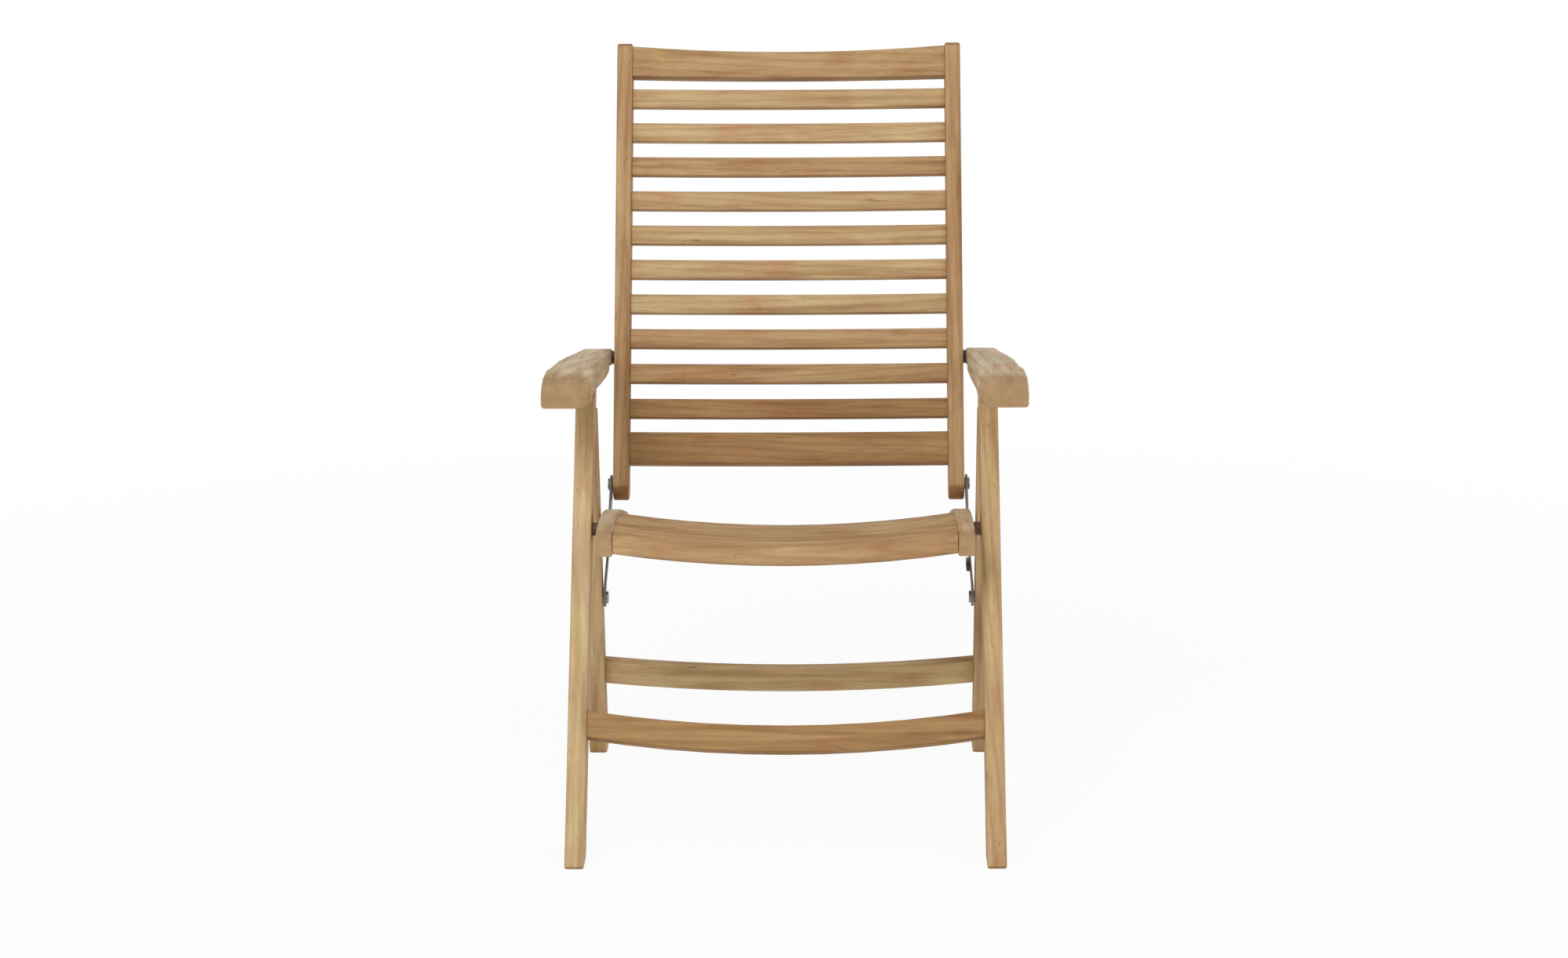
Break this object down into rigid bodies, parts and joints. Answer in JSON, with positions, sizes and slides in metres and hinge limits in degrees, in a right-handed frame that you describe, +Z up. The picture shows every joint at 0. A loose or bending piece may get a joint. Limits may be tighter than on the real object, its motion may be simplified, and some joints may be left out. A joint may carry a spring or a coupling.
{
  "type": "folding armchair",
  "caption": "Folding wooden high-back armchair with a slatted back and seat, notched tilting armrests and a steel plate linkage.",
  "frame": {"origin": "middle of the chair's width and depth, at the height of the feet", "axes": "+Z up, +X to the right seen from the front, the front faces -Y"},
  "size_m": [0.629, 0.8422, 0.9699],
  "materials": {
    "teak": "untreated, finely sanded",
    "steel": "dull",
    "black_plastic": "matte"
  },
  "bodies": {
    "front_frame": {"front_leg_left": "teak", "front_leg_right": "teak", "arm_pin_left": "steel", "arm_pin_right": "steel", "leg_pin_left": "steel", "leg_pin_right": "steel", "seat_pin_left": "steel", "seat_pin_right": "steel", "seat_spacer_left": "black_plastic", "seat_spacer_right": "black_plastic", "front_stretcher": "teak"},
    "rear_frame": {"rear_leg_left": "teak", "rear_leg_right": "teak", "rear_link_bolt_left": "steel", "rear_link_bolt_right": "steel", "rear_link_spacer_left": "steel", "rear_link_spacer_right": "steel", "rear_stretcher": "teak"},
    "seat": {"seat_rail_left": "teak", "seat_rail_right": "teak", "seat_link_bush_left": "steel", "seat_link_bush_right": "steel", "seat_front_slat": "teak", "seat_slat_1": "teak", "seat_slat_2": "teak", "seat_slat_3": "teak", "seat_slat_4": "teak", "seat_slat_5": "teak", "seat_slat_6": "teak"},
    "link_plates": {"link_plate_left": "steel", "link_plate_right": "steel", "seat_link_bolt_left": "steel", "seat_link_bolt_right": "steel", "back_link_bolt_left": "steel", "back_link_bolt_right": "steel"},
    "back_pivot": {"back_link_bush_left": "steel", "back_link_bush_right": "steel"},
    "backrest": {"back_stile_left": "teak", "back_stile_right": "teak", "notch_pin_left": "steel", "notch_pin_right": "steel", "notch_washer_left": "black_plastic", "notch_washer_right": "black_plastic", "back_top_rail": "teak", "back_bottom_rail": "teak", "back_slat_1": "teak", "back_slat_2": "teak", "back_slat_3": "teak", "back_slat_4": "teak", "back_slat_5": "teak", "back_slat_6": "teak", "back_slat_7": "teak", "back_slat_8": "teak", "back_slat_9": "teak", "back_slat_10": "teak"},
    "arm_left": {"armrest_left": "teak"},
    "arm_right": {"armrest_right": "teak"},
    "catch": {"safety_catch": "black_plastic"}
  },
  "joints": [
    {"name": "fold", "type": "hinge", "parent": "front_frame", "child": "rear_frame", "pos_m": [0, -0.03271, 0.506], "axis": [-1, 0, 0], "range_deg": [0, 36]},
    {"name": "seat_pivot", "type": "hinge", "parent": "front_frame", "child": "seat", "pos_m": [0, -0.14266, 0.381], "axis": [-1, 0, 0], "range_deg": [0, 51.25]},
    {"name": "plate_pivot", "type": "hinge", "parent": "rear_frame", "child": "link_plates", "pos_m": [0, 0.05397, 0.237], "axis": [-1, 0, 0], "range_deg": [0, 74.49]},
    {"name": "back_follow", "type": "hinge", "parent": "seat", "child": "back_pivot", "pos_m": [0, 0.23591, 0.35922], "axis": [1, 0, 0], "range_deg": [0, 41.05]},
    {"name": "recline", "type": "hinge", "parent": "back_pivot", "child": "backrest", "pos_m": [0, 0.1364, 0.3795], "axis": [1, 0, 0], "range_deg": [0, 15]},
    {"name": "arm_lift_left", "type": "hinge", "parent": "front_frame", "child": "arm_left", "pos_m": [0, -0.01776, 0.568], "axis": [1, 0, 0], "range_deg": [0, 18.2]},
    {"name": "arm_lift_right", "type": "hinge", "parent": "front_frame", "child": "arm_right", "pos_m": [0, -0.01776, 0.568], "axis": [1, 0, 0], "range_deg": [0, 18.2]},
    {"name": "catch_pivot", "type": "hinge", "parent": "link_plates", "child": "catch", "pos_m": [0, 0.06638, 0.283], "axis": [1, 0, 0], "range_deg": [0, 25]}
  ],
  "couplings": [
    {"joint": "seat_pivot", "follows": "fold", "ratio": 1.4152},
    {"joint": "plate_pivot", "follows": "fold", "ratio": 2.0607},
    {"joint": "back_follow", "follows": "fold", "ratio": 1.1318},
    {"joint": "arm_lift_left", "follows": "recline", "ratio": 1.2},
    {"joint": "arm_lift_right", "follows": "recline", "ratio": 1.2}
  ]
}
